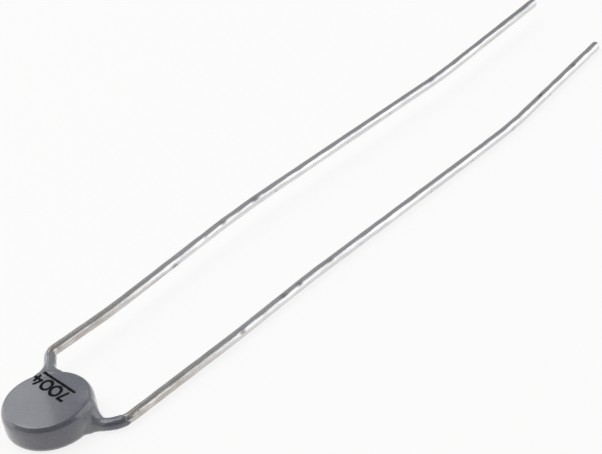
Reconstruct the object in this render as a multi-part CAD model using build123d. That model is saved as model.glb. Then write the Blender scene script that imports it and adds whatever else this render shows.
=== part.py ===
from build123d import *

import math
import os
from dataclasses import dataclass

# Leaded disc thermistor: a pressed ceramic disc with a fired electrode on each face, a tinned
# copper lead soldered by its flattened end to each electrode, and one dipped lacquer coating
# round it all that creeps a little way out along both leads.
#
# Millimetres and degrees. The origin is at the middle of the coating's flat underside, +Z is up
# through the disc, and +Y is the way the two leads run. The upper lead is on the -X side.

# ---------------------------------------------------------------- ceramic element
CERAMIC_DIAMETER = 3.00
CERAMIC_THICKNESS = 0.50
CERAMIC_EDGE_BREAK = 0.04
ELECTRODE_THICKNESS = 0.03
ELECTRODE_MARGIN = 0.08  # bare ceramic left round each electrode

# ---------------------------------------------------------------- solder
SOLDER_FILM = 0.02  # between the electrode and the lead's flat
SOLDER_SPREAD = 0.22  # how far the joint runs out beside the flat
SOLDER_CLIMB = 0.15  # how far it climbs the flat's sides
SOLDER_BANK_ANGLE = 42.0  # slope of its banks, from upright

# ---------------------------------------------------------------- leads
WIRE_DIAMETER = 0.50
FLAT_THICKNESS = 0.21  # the wire's end is pressed flat where it is soldered
FLAT_PAST_CENTRE = 0.62
FLAT_CLEARANCE = 0.06  # flat left beyond the ceramic's edge before the wire is round again
FLAT_TAPER = 0.34
TIP_CHAMFER = 0.05
LEAD_LENGTH = 36.2  # from the bend beside the disc to the cut tip
TIP_LENGTH = 8.7  # straight end that goes into a board or terminal
STRAIGHTENING_RADIUS = 24.0  # of the gentle bends that straightening by hand leaves
STRAIGHTENING_SHARE = 0.45  # of the shorter run beside it that such a bend may take up

UPPER_HEADING = 137.0  # the way the lead leaves the disc, from +X
UPPER_OFFSET = 2.72  # from the disc's axis to the lead's long run, across
UPPER_BEND_RADIUS = 0.60
UPPER_SLEEVE = 1.50  # coated length of lead outside the body
UPPER_RUN_SHARES = (0.131, 0.282, 0.089, 0.498)  # of the lead between its bend and its tip
UPPER_RUN_ANGLES = (-1.7, 2.5, 0.2, -2.6)  # each run's lean outwards
UPPER_TIP_ANGLE = 2.7

LOWER_HEADING = 23.5
LOWER_OFFSET = 2.88
LOWER_BEND_RADIUS = 1.27
LOWER_SLEEVE = 1.38
LOWER_RUN_SHARES = (0.269, 0.178, 0.438, 0.115)
LOWER_RUN_ANGLES = (0.5, -1.2, 1.2, 0.45)
LOWER_TIP_ANGLE = -6.3

# ---------------------------------------------------------------- coating
COATING_WALL = 0.55  # round the ceramic's edge
COATING_SKIN = 0.06  # over and under the round wire
TOP_EDGE_RADIUS = 0.17
BOTTOM_EDGE_REACH = 0.42  # how far up and how far in the soft bottom edge reaches
ROUND_PULL = 0.5523  # where a curve's handles sit along their tangents to round a square corner
SLEEVE_WALL = 0.05  # coating on the wire outside the body
SLEEVE_FEATHER = 0.14  # the sleeve thins out over this length where it stops
SLEEVE_FEATHER_WALL = 0.01  # what is left of it at its very end
MENISCUS_REACH = 0.48  # how far out along a lead the body tapers into the sleeve
MENISCUS_SHOULDER = 0.12  # how far inside the rim it starts to taper
MENISCUS_ROOT = 0.57  # how far inside the rim it is rooted
MENISCUS_HALF_WIDTH = 0.72
UPPER_HALF_HEIGHT = 0.52
LOWER_HALF_HEIGHT = 0.69  # the lower one hangs from the top edge down to the lead
UPPER_SWELL = 0.06  # rise over the upper lead as it leaves the top face
LOWER_SWELL = 0.00
WIDTH_CURVE = 2.0  # powers of the taper: the higher, the quicker it narrows
HEIGHT_CURVE = 1.5
MENISCUS_STEPS = 4  # sections along the taper, after the first

# ---------------------------------------------------------------- worked out from the above
wire_radius = WIRE_DIAMETER / 2
sleeve_radius = wire_radius + SLEEVE_WALL
flat_width = math.pi * wire_radius**2 / FLAT_THICKNESS  # pressing keeps the wire's section
flat_end = CERAMIC_DIAMETER / 2 + FLAT_CLEARANCE
round_start = flat_end + FLAT_TAPER
seat_height = CERAMIC_THICKNESS / 2 + ELECTRODE_THICKNESS
lead_rise = seat_height + SOLDER_FILM + FLAT_THICKNESS / 2
middle = lead_rise + wire_radius + COATING_SKIN
body_thickness = 2 * middle
body_radius = CERAMIC_DIAMETER / 2 + COATING_WALL
electrode_radius = CERAMIC_DIAMETER / 2 - CERAMIC_EDGE_BREAK - ELECTRODE_MARGIN


@dataclass(frozen=True)
class LeadForm:
    """One lead's shape: side is +1 on the upper face of the ceramic and -1 on the lower one."""

    side: int
    heading: float
    offset: float
    bend_radius: float
    sleeve: float
    run_shares: tuple[float, ...]
    run_angles: tuple[float, ...]
    tip_angle: float
    half_height: float
    swell: float

    @property
    def level(self) -> float:
        """Height of the wire's axis where it leaves the body."""
        return middle + self.side * lead_rise

    @property
    def outward(self) -> int:
        """The side of the part, along X, that the lead runs on."""
        return 1 if math.cos(math.radians(self.heading)) > 0 else -1


UPPER = LeadForm(
    1, UPPER_HEADING, UPPER_OFFSET, UPPER_BEND_RADIUS, UPPER_SLEEVE, UPPER_RUN_SHARES,
    UPPER_RUN_ANGLES, UPPER_TIP_ANGLE, UPPER_HALF_HEIGHT, UPPER_SWELL,
)
LOWER = LeadForm(
    -1, LOWER_HEADING, LOWER_OFFSET, LOWER_BEND_RADIUS, LOWER_SLEEVE, LOWER_RUN_SHARES,
    LOWER_RUN_ANGLES, LOWER_TIP_ANGLE, LOWER_HALF_HEIGHT, LOWER_SWELL,
)


# ---------------------------------------------------------------- routes and frames
def heading_vector(form: LeadForm) -> Vector:
    """Level unit vector along which the lead leaves the disc."""
    angle = math.radians(form.heading)
    return Vector(math.cos(angle), math.sin(angle), 0)


def seat_plane(form: LeadForm) -> Plane:
    """Frame on the electrode's outer surface: X along the lead, Z away from the ceramic."""
    height = middle + form.side * seat_height
    return Plane(origin=(0, 0, height), x_dir=heading_vector(form), z_dir=(0, 0, form.side))


def corner_points(form: LeadForm) -> list[Vector]:
    """Corners of the wire's centre line, from the disc's axis to the cut tip."""
    angle = math.radians(form.heading)
    points = [Vector(0, 0, form.level)]
    points.append(points[0] + heading_vector(form) * (form.offset / abs(math.cos(angle))))
    tip_level = form.level if form.side > 0 else wire_radius  # the lower lead's tip rests
    waved = LEAD_LENGTH - TIP_LENGTH
    runs = [(share * waved, lean) for share, lean in zip(form.run_shares, form.run_angles)]
    runs.append((TIP_LENGTH, form.tip_angle))
    slope = (tip_level - form.level) / sum(length for length, _ in runs)
    for length, lean in runs:
        across = form.outward * length * math.sin(math.radians(lean))
        along = length * math.cos(math.radians(lean))
        points.append(points[-1] + Vector(across, along, slope * length))
    return points


def corner_radii(points: list[Vector], first: float) -> list[float]:
    """The radius of each corner: the bend beside the disc, then the gentle ones."""
    radii = []
    for before, corner, after in zip(points, points[1:], points[2:]):
        turn = math.radians((corner - before).get_angle(after - corner))
        shorter = min((corner - before).length, (after - corner).length)
        wanted = STRAIGHTENING_RADIUS if radii else first
        radii.append(min(wanted, STRAIGHTENING_SHARE * shorter / math.tan(turn / 2)))
    return radii


def lead_route(form: LeadForm) -> Wire:
    """Centre line of the wire from the disc's axis to the cut tip."""
    points = corner_points(form)
    line = FilletPolyline(*points, radius=corner_radii(points, form.bend_radius))
    return Wire(line.edges())


def stretch(route: Wire, start: float, end: float) -> Wire:
    """The part of a route between two distances from the disc's axis."""
    return route.trim(start / route.length, min(1.0, end / route.length))


def section_plane(route: Wire, distance: float) -> Plane:
    """Plane across a route at a distance from the disc's axis, with its Y upwards."""
    share = distance / route.length
    ahead = route.tangent_at(share)
    return Plane(origin=route.position_at(share), x_dir=Vector(0, 0, 1).cross(ahead), z_dir=ahead)


# ---------------------------------------------------------------- ceramic and electrodes
def ceramic_disc() -> Part:
    """Pressed and sintered disc with its sharp edges broken."""
    disc = Pos(0, 0, middle) * Cylinder(CERAMIC_DIAMETER / 2, CERAMIC_THICKNESS)
    return chamfer(disc.edges().filter_by(GeomType.CIRCLE), CERAMIC_EDGE_BREAK)


def electrode(form: LeadForm) -> Part:
    """Fired silver layer on one face of the ceramic."""
    height = middle + form.side * (CERAMIC_THICKNESS + ELECTRODE_THICKNESS) / 2
    return Pos(0, 0, height) * Cylinder(electrode_radius, ELECTRODE_THICKNESS)


# ---------------------------------------------------------------- leads
def flat_outline(spread: float) -> Sketch:
    """Plan of the pressed flat, rounded at its end and grown by a spread all round."""
    half = flat_width / 2 + spread
    length = FLAT_PAST_CENTRE + flat_end + 2 * spread
    centre = (flat_end - FLAT_PAST_CENTRE) / 2
    end_circle = Pos(centre - length / 2 + half, 0) * Circle(half)
    bar = Pos(centre + half / 2, 0) * Rectangle(length - half, 2 * half)
    return end_circle + bar


def trapezoid(half_at_flat: float, half_at_round: float) -> Sketch:
    """Outline between the flat's end and the round wire's start, with its half width at each."""
    corners = [(flat_end, half_at_flat), (round_start, half_at_round)]
    mirrored = [(along, -half) for along, half in reversed(corners)]
    return make_face(Polyline(*corners, *mirrored, close=True))


def pressed_flat() -> Part:
    """The flattened end and its taper back to the round wire, in the frame of its seat."""
    height = SOLDER_FILM + FLAT_THICKNESS / 2
    across = Plane(origin=(0, 0, height), x_dir=(0, 1, 0), z_dir=(1, 0, 0))
    section = across.offset(-FLAT_PAST_CENTRE) * SlotOverall(flat_width, FLAT_THICKNESS)
    bar = extrude(section, FLAT_PAST_CENTRE + round_start)
    shoulders = trapezoid(flat_width / 2, FLAT_THICKNESS / 2)
    plan = extrude(flat_outline(0) + shoulders, 2 * height)
    wire_end = extrude(across.offset(flat_end) * Circle(wire_radius), FLAT_TAPER)
    upright = Plane(origin=(0, 0, height), x_dir=(1, 0, 0), z_dir=(0, -1, 0))
    wedge = extrude(upright * trapezoid(FLAT_THICKNESS / 2, sleeve_radius), wire_radius, both=True)
    return (bar & plan) + (wire_end & wedge)


def lead(form: LeadForm) -> Part:
    """Tinned copper wire, pressed flat on the electrode and cut square at the tip."""
    route = lead_route(form)
    wire = sweep(section_plane(route, round_start) * Circle(wire_radius),
                 stretch(route, round_start, route.length))
    tip = wire.faces().sort_by_distance(route.position_at(1))[0]
    wire = chamfer(tip.edges(), TIP_CHAMFER)
    return wire + seat_plane(form) * pressed_flat()


def solder(form: LeadForm, lead_part: Part) -> Part:
    """Solder joint that wets the electrode and climbs the sides of the lead's flat."""
    mound_height = SOLDER_FILM + SOLDER_CLIMB
    mound = extrude(flat_outline(SOLDER_SPREAD), mound_height, taper=SOLDER_BANK_ANGLE)
    wetted = Pos(0, 0, middle) * Cylinder(electrode_radius, body_thickness)
    return ((seat_plane(form) * mound) & wetted) - lead_part


# ---------------------------------------------------------------- coating
def coated_body() -> Part:
    """The lacquered disc: flat faces, an upright side, a crisp top edge and a soft bottom one."""
    foot = Vector(body_radius - BOTTOM_EDGE_REACH, 0)
    square_corner = Vector(body_radius, 0)
    side_start = Vector(body_radius, BOTTOM_EDGE_REACH)
    foot_handle = foot + (square_corner - foot) * ROUND_PULL
    side_handle = side_start + (square_corner - side_start) * ROUND_PULL
    bank = Bezier(foot, foot_handle, side_handle, side_start)
    top_corner = (body_radius, body_thickness)
    rest = Polyline(side_start, top_corner, (0, body_thickness), (0, 0), foot)
    outline = make_face([bank, rest])
    top_edge = outline.vertices().sort_by_distance(top_corner)[0]
    return revolve(Plane.XZ * fillet(top_edge, TOP_EDGE_RADIUS), Axis.Z)


def meniscus(form: LeadForm, route: Wire) -> Part:
    """Taper of lacquer from the body's side into the sleeve, as it hangs round a dipped lead."""
    root = body_radius - MENISCUS_ROOT
    shoulder = body_radius - MENISCUS_SHOULDER
    end = body_radius + MENISCUS_REACH
    stations = [root, (root + shoulder) / 2]
    taper = (end - shoulder) / MENISCUS_STEPS
    stations += [shoulder + taper * step for step in range(MENISCUS_STEPS + 1)]
    sections = []
    for station in stations:
        left = min(1.0, (end - station) / (end - shoulder))
        half_width = sleeve_radius + (MENISCUS_HALF_WIDTH - sleeve_radius) * left**WIDTH_CURVE
        half_height = sleeve_radius + (form.half_height - sleeve_radius) * left**HEIGHT_CURVE
        swell = form.swell * math.sin(math.pi * (station - root) / (end - root))
        sink = form.side * (half_height - sleeve_radius - swell)
        across = section_plane(route, station)
        sections.append(across * (Pos(0, -sink) * Ellipse(half_width, half_height)))
    return loft(sections)


def sleeve(form: LeadForm, route: Wire) -> Part:
    """Thin coat on the lead outside the body, feathering out where it stops."""
    start = body_radius + MENISCUS_REACH
    end = body_radius + form.sleeve
    full_end = end - SLEEVE_FEATHER
    full = section_plane(route, start) * Circle(sleeve_radius)
    thick_end = section_plane(route, full_end) * Circle(sleeve_radius)
    thin_end = section_plane(route, end) * Circle(wire_radius + SLEEVE_FEATHER_WALL)
    return sweep(full, stretch(route, start, full_end)) + loft([thick_end, thin_end])


def coating(inner_parts: list[Part]) -> Part:
    """The dipped lacquer in one piece, with everything that it was dipped over taken out."""
    outer = coated_body()
    for form in (UPPER, LOWER):
        route = lead_route(form)
        outer += meniscus(form, route) + sleeve(form, route)
    for part in inner_parts:
        outer -= part
    return outer


# ---------------------------------------------------------------- assembly
def thermistor() -> dict[str, Part]:
    """Every sub-part under its node's name."""
    parts = {"ceramic_disc": ceramic_disc()}
    for name, form in (("upper", UPPER), ("lower", LOWER)):
        lead_part = lead(form)
        parts[f"{name}_electrode"] = electrode(form)
        parts[f"{name}_lead"] = lead_part
        parts[f"{name}_solder"] = solder(form, lead_part)
    parts["coating"] = coating(list(parts.values()))
    return parts


os.makedirs("parts", exist_ok=True)
for node, shape in thermistor().items():
    shape.label = node
    export_step(shape, f"parts/{node}.step")
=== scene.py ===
"""Looks of a leaded disc thermistor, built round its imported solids.

Lengths are in millimetres until a mesh is made, and MM turns them into Blender's metres. The frame
is the solids' own: the origin is at the middle of the coating's underside, +Z is up through the
disc, and the two leads run along +Y.
"""

import logging
import math
from collections.abc import Callable
from dataclasses import dataclass, field
from enum import Enum

import bpy
import numpy as np
from mathutils import Matrix, Vector


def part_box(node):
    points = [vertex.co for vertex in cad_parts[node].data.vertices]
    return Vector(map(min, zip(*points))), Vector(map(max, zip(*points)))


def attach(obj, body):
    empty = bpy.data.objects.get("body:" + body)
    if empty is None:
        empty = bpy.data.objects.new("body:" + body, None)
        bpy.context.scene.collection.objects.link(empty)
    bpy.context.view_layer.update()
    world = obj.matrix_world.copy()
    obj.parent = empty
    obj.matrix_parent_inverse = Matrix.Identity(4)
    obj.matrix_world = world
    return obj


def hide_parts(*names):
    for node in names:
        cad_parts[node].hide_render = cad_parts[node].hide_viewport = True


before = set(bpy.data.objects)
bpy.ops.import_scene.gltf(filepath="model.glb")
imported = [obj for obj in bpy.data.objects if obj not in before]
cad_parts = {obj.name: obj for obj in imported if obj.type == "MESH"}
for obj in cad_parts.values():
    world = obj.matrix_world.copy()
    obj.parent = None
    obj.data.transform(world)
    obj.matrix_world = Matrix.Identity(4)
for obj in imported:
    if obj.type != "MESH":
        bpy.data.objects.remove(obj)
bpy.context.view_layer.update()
BODY = "root"
MM = 0.001
TURN = 2 * math.pi
TINY = 1e-6

# Uneven waves: their number, their steepest lift, how much shorter each is, and their common peak.
WAVES = 5
WAVE_LIFT = 0.9
WAVE_SPREAD = 0.23
WAVE_PEAK = 3.0
# How a seed and a wave's number set that wave's direction, its lift and its phase.
WAVE_MIX = ((1.7, 2.399), (0.9, 1.3), (5.1, 1.9))

log = logging.getLogger("thermistor")

Field = Callable[[np.ndarray], np.ndarray]
Colour = tuple[float, float, float, float]
Place = tuple[float, float, float]
Span = tuple[float, float]
Wave = tuple[float, float, float]
Stroke = tuple[Span, ...]


class Side(Enum):
    """The face of the ceramic that a lead is soldered to."""

    UPPER = 1
    LOWER = -1


class Slot(Enum):
    """The record's material slots."""

    LACQUER = "lacquer"
    CERAMIC = "oxide_ceramic"
    SILVER = "fired_silver"
    SOLDER = "solder"
    WIRE = "tinned_wire"


class Outline(Enum):
    """The outline of a soft light, as Blender names it."""

    SQUARE = "RECTANGLE"
    ROUND = "ELLIPSE"


# ------------------------------------------------------------------------------------ small maths
def smooth_step(value: np.ndarray, low: float, high: float) -> np.ndarray:
    """Rises smoothly from 0 at low to 1 at high."""
    share = np.clip((value - low) / (high - low), 0.0, 1.0)
    return share * share * (3.0 - 2.0 * share)


def smooth_union(a: np.ndarray, b: np.ndarray, blend: float) -> np.ndarray:
    """Joins two distance fields with a fillet.

    Args:
        a: Distances to the first form.
        b: Distances to the second form.
        blend: Reach of the fillet.

    Returns:
        Distances to the two forms as one.
    """
    near = np.maximum(blend - np.abs(a - b), 0.0) / blend
    return np.minimum(a, b) - near * near * blend / 4.0


def ripple(points: np.ndarray, wavelength: float, seed: float) -> np.ndarray:
    """Smooth uneven waves through space, between about -1 and 1.

    Args:
        points: Places, one row each.
        wavelength: Distance from one rise to the next.
        seed: Any number; each gives other waves.

    Returns:
        One value for each place.
    """
    total = np.zeros(len(points))
    for wave in range(WAVES):
        angle, lift, phase = (seed * by_seed + wave * by_wave for by_seed, by_wave in WAVE_MIX)
        way = np.array([math.cos(angle), math.sin(angle), math.sin(lift) * WAVE_LIFT])
        total += np.sin(points @ way * (TURN / wavelength) * (1.0 + WAVE_SPREAD * wave) + phase)
    return total / WAVE_PEAK


def lobed(angle: np.ndarray, waves: tuple[Wave, ...], seed: float = 1.0) -> np.ndarray:
    """Waves round a circle.

    Args:
        angle: Angles round it.
        waves: Height, count and phase of each wave.
        seed: What each phase is multiplied by.

    Returns:
        One value for each angle.
    """
    return sum(height * np.cos(count * angle + phase * seed) for height, count, phase in waves)


def plan_way(heading: float) -> np.ndarray:
    """Unit vector in plan at an angle from +X."""
    return np.array([math.cos(heading), math.sin(heading)])


def gradient(form: Field, points: np.ndarray, reach: float = 1e-3) -> np.ndarray:
    """Slope of a distance field at some points, in space or in plan.

    Args:
        form: The field.
        points: Places, one row each.
        reach: Half the width of the difference that is taken.

    Returns:
        One vector for each place.
    """
    slope = np.empty_like(points)
    for axis in range(points.shape[1]):
        step = np.zeros(points.shape[1])
        step[axis] = reach
        slope[:, axis] = (form(points + step) - form(points - step)) / (2.0 * reach)
    return slope


def settle(form: Field, points: np.ndarray, rounds: int = 4, least: float = 0.05) -> np.ndarray:
    """Moves points on to the surface where a distance field is zero.

    Args:
        form: The field.
        points: Places near its surface, one row each.
        rounds: How many steps are taken.
        least: Least squared slope that a step counts on, so that none runs away.

    Returns:
        The moved places.
    """
    for _ in range(rounds):
        slope = gradient(form, points)
        steepness = np.maximum((slope * slope).sum(1), least)
        points = points - slope * (form(points) / steepness)[:, None]
    return points


def net_vertices(value: np.ndarray) -> tuple[np.ndarray, np.ndarray]:
    """Puts one vertex in each grid cell that a surface crosses.

    Args:
        value: Distances to the surface at the grid's points.

    Returns:
        The vertices in grid steps, and each cell's vertex number, or -1.
    """
    count = value.shape
    inside = value < 0.0
    total = np.zeros(tuple(size - 1 for size in count) + (3,))
    crossings = np.zeros(total.shape[:3])
    for axis in range(3):
        ahead = np.diff(inside.astype(np.int8), axis=axis) != 0
        first = np.take(value, range(count[axis] - 1), axis=axis)
        second = np.take(value, range(1, count[axis]), axis=axis)
        share = np.where(ahead, first / np.where(ahead, first - second, 1.0), 0.0)
        across = [other for other in range(3) if other != axis]
        for shift in ((0, 0), (0, 1), (1, 0), (1, 1)):
            part = [slice(None)] * 3
            for other, start in zip(across, shift):
                part[other] = slice(start, count[other] - 1 + start)
            hit = ahead[tuple(part)]
            crossings += hit
            total[..., axis] += np.where(hit, share[tuple(part)], 0.0)
            for other, start in zip(across, shift):
                total[..., other] += hit * float(start)
    active = crossings > 0
    cells = np.argwhere(active)
    number = np.full(crossings.shape, -1, dtype=np.int64)
    number[active] = np.arange(len(cells))
    return cells + total[active] / crossings[active][:, None], number


def net_faces(inside: np.ndarray, number: np.ndarray) -> np.ndarray:
    """Lays a four-sided face over each grid edge that a surface crosses.

    Args:
        inside: Whether each of the grid's points lies inside the surface.
        number: Each cell's vertex number.

    Returns:
        Vertex numbers, four for each face.
    """
    faces = []
    for axis in range(3):
        b, c = (axis + 1) % 3, (axis + 2) % 3
        part = [slice(1, -1)] * 3
        part[axis] = slice(0, inside.shape[axis] - 1)
        here = inside[tuple(part)]
        part[axis] = slice(1, inside.shape[axis])
        there = inside[tuple(part)]
        for rising in (False, True):
            at = np.argwhere((here & ~there) if rising else (~here & there))
            at[:, b] += 1
            at[:, c] += 1
            corners = []
            for shift_b, shift_c in ((1, 1), (0, 1), (0, 0), (1, 0)):
                cell = at.copy()
                cell[:, b] -= shift_b
                cell[:, c] -= shift_c
                corners.append(number[tuple(cell.T)])
            loop = np.stack(corners, axis=1)
            faces.append(loop if rising else loop[:, ::-1])
    return np.concatenate(faces)


def surface_net(form: Field, low: np.ndarray, high: np.ndarray,
                step: float) -> tuple[np.ndarray, np.ndarray]:
    """Meshes the surface where a distance field is zero, as even four-sided faces.

    Args:
        form: The field, negative inside.
        low: Lowest corner of the space to mesh.
        high: Highest corner.
        step: Size of a grid cell.

    Returns:
        Vertices and faces.
    """
    axes = [np.arange(low[a], high[a] + step, step) for a in range(3)]
    grid = np.stack(np.meshgrid(*axes, indexing="ij"), axis=-1).reshape(-1, 3)
    value = form(grid).reshape([len(axis) for axis in axes])
    places, number = net_vertices(value)
    return settle(form, low + places * step), net_faces(value < 0.0, number)


def make_piece(name: str, vertices: np.ndarray, faces: list | np.ndarray) -> bpy.types.Object:
    """Makes a smooth-shaded mesh object from millimetres.

    Args:
        name: The piece's name.
        vertices: Places in millimetres, one row each.
        faces: Vertex numbers of each face.

    Returns:
        The object, in the scene.
    """
    mesh = bpy.data.meshes.new(name)
    loops = [list(map(int, loop)) for loop in faces]
    mesh.from_pydata((np.asarray(vertices) * MM).tolist(), [], loops)
    mesh.update()
    mesh.polygons.foreach_set("use_smooth", np.ones(len(mesh.polygons), dtype=bool))
    piece = bpy.data.objects.new(name, mesh)
    bpy.context.scene.collection.objects.link(piece)
    return piece


def store_vectors(piece: bpy.types.Object, name: str, values: np.ndarray) -> None:
    """Keeps one vector for each vertex, for a material to read."""
    attribute = piece.data.attributes.new(name, "FLOAT_VECTOR", "POINT")
    attribute.data.foreach_set("vector", np.asarray(values, dtype=np.float32).ravel())


def store_values(piece: bpy.types.Object, name: str, values: np.ndarray) -> None:
    """Keeps one number for each vertex, for a material to read."""
    attribute = piece.data.attributes.new(name, "FLOAT", "POINT")
    attribute.data.foreach_set("value", np.asarray(values, dtype=np.float32))


# ------------------------------------------------------------------------------------ shader nodes
class Nodes:
    """A node tree, with short calls that add nodes and join them."""

    def __init__(self, tree: bpy.types.NodeTree) -> None:
        """Starts from a tree."""
        self.tree = tree

    def add(self, kind: str, inputs: dict | None = None, **settings: object) -> bpy.types.Node:
        """Adds a node.

        Args:
            kind: Blender's name for the kind of node.
            inputs: A value or an output socket for each input, by its name or number.
            settings: The node's own settings.

        Returns:
            The node.
        """
        node = self.tree.nodes.new(kind)
        for name, value in settings.items():
            setattr(node, name, value)
        self.feed(node, inputs or {})
        return node

    def feed(self, node: bpy.types.Node, inputs: dict) -> None:
        """Sets a node's inputs.

        Args:
            node: The node.
            inputs: A value or an output socket for each input, by its name or number.
        """
        for key, value in inputs.items():
            if isinstance(value, bpy.types.NodeSocket):
                self.tree.links.new(value, node.inputs[key])
            else:
                node.inputs[key].default_value = value

    def maths(self, operation: str, *values: object) -> bpy.types.NodeSocket:
        """Adds one step of arithmetic and returns its result."""
        return self.add("ShaderNodeMath", dict(enumerate(values)), operation=operation).outputs[0]

    def spread(self, value: object, low: float, high: float,
               to_low: float, to_high: float) -> bpy.types.NodeSocket:
        """Maps a value's range smoothly to another range.

        Args:
            value: The value.
            low: Where its range starts.
            high: Where its range ends.
            to_low: What the start becomes.
            to_high: What the end becomes.

        Returns:
            The mapped value, which stays within the new range.
        """
        inputs = {"Value": value, "From Min": low, "From Max": high,
                  "To Min": to_low, "To Max": to_high}
        node = self.add("ShaderNodeMapRange", inputs, interpolation_type="SMOOTHSTEP")
        return node.outputs["Result"]

    def mix(self, share: object, first: object, second: object) -> bpy.types.NodeSocket:
        """Mixes two colours."""
        inputs = {0: share, 6: first, 7: second}
        return self.add("ShaderNodeMix", inputs, data_type="RGBA").outputs[2]

    def stretch(self, vector: bpy.types.NodeSocket, by: Place) -> bpy.types.NodeSocket:
        """Scales a place differently along each axis."""
        return self.add("ShaderNodeVectorMath", {0: vector, 1: by}, operation="MULTIPLY").outputs[0]

    def stored(self, name: str, output: str = "Fac") -> bpy.types.NodeSocket:
        """What a mesh keeps for each vertex under a name."""
        return self.add("ShaderNodeAttribute", attribute_name=name).outputs[output]

    def relief(self, height: object, strength: float, depth: float) -> bpy.types.NodeSocket:
        """Turns a height into a normal, for a relief whose depth is in millimetres."""
        inputs = {"Strength": strength, "Distance": depth * MM, "Height": height}
        return self.add("ShaderNodeBump", inputs).outputs["Normal"]

    def group(self, tree: bpy.types.NodeTree, **inputs: object) -> bpy.types.Node:
        """Places a shared group, with its inputs by name."""
        return self.add("ShaderNodeGroup", inputs, node_tree=tree)


def new_group(name: str, inputs: dict[str, str],
              outputs: dict[str, str]) -> tuple[Nodes, dict, bpy.types.Node]:
    """Starts a shader node group.

    Args:
        name: The group's name.
        inputs: Kind of each input socket, by name.
        outputs: Kind of each output socket, by name.

    Returns:
        Its nodes, its input sockets by name, and the node that takes its outputs.
    """
    tree = bpy.data.node_groups.new(name, "ShaderNodeTree")
    for direction, sockets in (("INPUT", inputs), ("OUTPUT", outputs)):
        for socket, kind in sockets.items():
            tree.interface.new_socket(socket, in_out=direction, socket_type=kind)
    nodes = Nodes(tree)
    source = nodes.add("NodeGroupInput")
    return nodes, {name: source.outputs[name] for name in inputs}, nodes.add("NodeGroupOutput")


@dataclass
class SharedLooks:
    """Node groups that more than one material uses, each built once."""

    variation: bpy.types.NodeTree = field(init=False)
    specks: bpy.types.NodeTree = field(init=False)
    contrast: Span = (0.33, 0.67)
    fine_height: float = 0.35
    speck_edge: float = 0.08

    def __post_init__(self) -> None:
        """Builds the groups."""
        self.variation = self.build_variation()
        self.specks = self.build_specks()

    def build_variation(self) -> bpy.types.NodeTree:
        """Slow blotches with a finer grain over them, as a mask and as a height.

        Returns:
            The group.
        """
        inputs = {"Vector": "NodeSocketVector", "Scale": "NodeSocketFloat",
                  "Grain": "NodeSocketFloat"}
        outputs = {"Mask": "NodeSocketFloat", "Height": "NodeSocketFloat"}
        nodes, given, result = new_group("UnevenTone", inputs, outputs)
        slow = nodes.add("ShaderNodeTexNoise", {"Vector": given["Vector"], "Scale": given["Scale"],
                                                "Detail": 3.0, "Roughness": 0.55})
        fine_scale = nodes.maths("MULTIPLY", given["Scale"], given["Grain"])
        fine = nodes.add("ShaderNodeTexNoise", {"Vector": given["Vector"], "Scale": fine_scale,
                                                "Detail": 2.0, "Roughness": 0.5})
        nodes.feed(result, {
            "Mask": nodes.spread(slow.outputs["Fac"], *self.contrast, 0.0, 1.0),
            "Height": nodes.maths("MULTIPLY_ADD", fine.outputs["Fac"], self.fine_height,
                                  slow.outputs["Fac"]),
        })
        return nodes.tree

    def build_specks(self) -> bpy.types.NodeTree:
        """Scattered small specks: Amount is the share of cells that hold one.

        Returns:
            The group.
        """
        inputs = {"Vector": "NodeSocketVector", "Scale": "NodeSocketFloat",
                  "Size": "NodeSocketFloat", "Amount": "NodeSocketFloat"}
        nodes, given, result = new_group("Specks", inputs, {"Mask": "NodeSocketFloat"})
        cells = nodes.add("ShaderNodeTexVoronoi", {"Vector": given["Vector"],
                                                   "Scale": given["Scale"]})
        apart = nodes.add("ShaderNodeSeparateColor", {0: cells.outputs["Color"]})
        chosen = nodes.maths("LESS_THAN", apart.outputs[0], given["Amount"])
        size = nodes.maths("MULTIPLY", given["Size"], apart.outputs[1])
        close = nodes.maths("SUBTRACT", size, cells.outputs["Distance"])
        soft = nodes.spread(close, 0.0, self.speck_edge, 0.0, 1.0)
        nodes.feed(result, {"Mask": nodes.maths("MULTIPLY", soft, chosen)})
        return nodes.tree


def start_material(name: str) -> tuple[bpy.types.Material, Nodes, bpy.types.Node]:
    """Makes a material.

    Args:
        name: The material's name.

    Returns:
        The material, its nodes and its main shader.
    """
    material = bpy.data.materials.new(name)
    material.use_nodes = True
    nodes = Nodes(material.node_tree)
    return material, nodes, nodes.tree.nodes["Principled BSDF"]


def object_place(nodes: Nodes) -> bpy.types.NodeSocket:
    """A point's place on the part, in millimetres."""
    place = nodes.add("ShaderNodeTexCoord").outputs["Object"]
    return nodes.stretch(place, (1 / MM, 1 / MM, 1 / MM))


@dataclass(frozen=True)
class Tone:
    """An uneven tone: the scale of its blotches, and how many times finer its grain is."""

    scale: float
    grain: float

    def put(self, nodes: Nodes, shared: SharedLooks, place: bpy.types.NodeSocket) -> bpy.types.Node:
        """Adds the tone to a material."""
        return nodes.group(shared.variation, Vector=place, Scale=self.scale, Grain=self.grain)


@dataclass(frozen=True)
class Specks:
    """Scattered specks: their scale, size and strength, and the share of places that have one."""

    scale: float
    size: float
    amount: float
    strength: float = 1.0

    def put(self, nodes: Nodes, shared: SharedLooks,
            place: bpy.types.NodeSocket) -> bpy.types.NodeSocket:
        """Adds the specks to a material and returns their mask."""
        return nodes.group(shared.specks, Vector=place, Scale=self.scale,
                           Size=self.size, Amount=self.amount).outputs["Mask"]


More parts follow.
